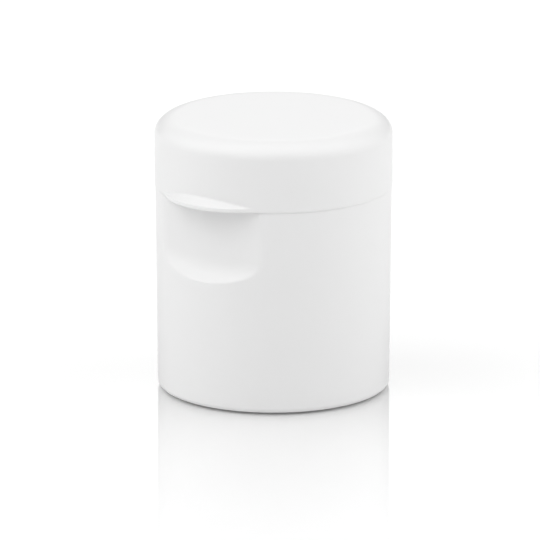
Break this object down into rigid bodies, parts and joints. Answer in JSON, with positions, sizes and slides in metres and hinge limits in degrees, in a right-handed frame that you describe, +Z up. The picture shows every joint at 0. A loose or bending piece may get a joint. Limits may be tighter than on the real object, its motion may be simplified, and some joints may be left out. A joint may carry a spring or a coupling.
{
  "type": "pill crusher",
  "caption": "Screw-down pill crusher: round white body with a thumb scoop, threaded plunger with a keyed steel foot, and a hinged lid over a divided pill store.",
  "frame": {"origin": "centre of the soft ring's bottom face, on the axis of the body", "axes": "+Z up along the body's axis, -Y towards the thumb lip, +Y towards the lid's hinge"},
  "size_m": [0.048, 0.0522, 0.056],
  "materials": {
    "outer_plastic": "glossy moulded white",
    "inner_plastic": "satin moulded off-white",
    "cup_plastic": "polished moulded white",
    "foot_rubber": "soft, matt, pale grey",
    "seal_rubber": "silicone, matt, grey",
    "steel": "turned and brushed stainless",
    "fastener_steel": "plain stainless fastener",
    "bearing_plastic": "natural acetal"
  },
  "bodies": {
    "base": {"body_shell": "outer_plastic", "base_cover": "inner_plastic", "foot_ring": "foot_rubber", "base_screws": "fastener_steel", "crush_barrel": "inner_plastic", "deck_seal": "seal_rubber", "anvil_plate": "steel", "anvil_nut": "fastener_steel"},
    "foot": {"pestle_foot": "steel", "foot_bush": "bearing_plastic"},
    "plunger": {"plunger_screw": "inner_plastic", "foot_screw": "fastener_steel", "thrust_washer": "bearing_plastic", "wiper_ring": "seal_rubber", "hinge_collar": "inner_plastic", "collar_screws": "fastener_steel", "hinge_pin": "fastener_steel", "store_cup": "cup_plastic", "store_divider": "cup_plastic"},
    "lid": {"lid_shell": "outer_plastic", "lid_liner": "inner_plastic", "lid_gasket": "seal_rubber"}
  },
  "joints": [
    {"name": "plunger_travel", "type": "slide", "parent": "base", "child": "foot", "axis": [0, 0, 1], "range_m": [0, 0.01201]},
    {"name": "plunger_turn", "type": "hinge", "parent": "foot", "child": "plunger", "pos_m": [0, 0, 0], "axis": [0, 0, 1], "range_deg": [0, 1080]},
    {"name": "lid_hinge", "type": "hinge", "parent": "plunger", "child": "lid", "pos_m": [0, 0.0246, 0.0437], "axis": [-1, 0, 0], "range_deg": [0, 140]}
  ],
  "couplings": [
    {"joint": "plunger_travel", "follows": "plunger_turn", "m_per_rad": 0.00063662}
  ]
}
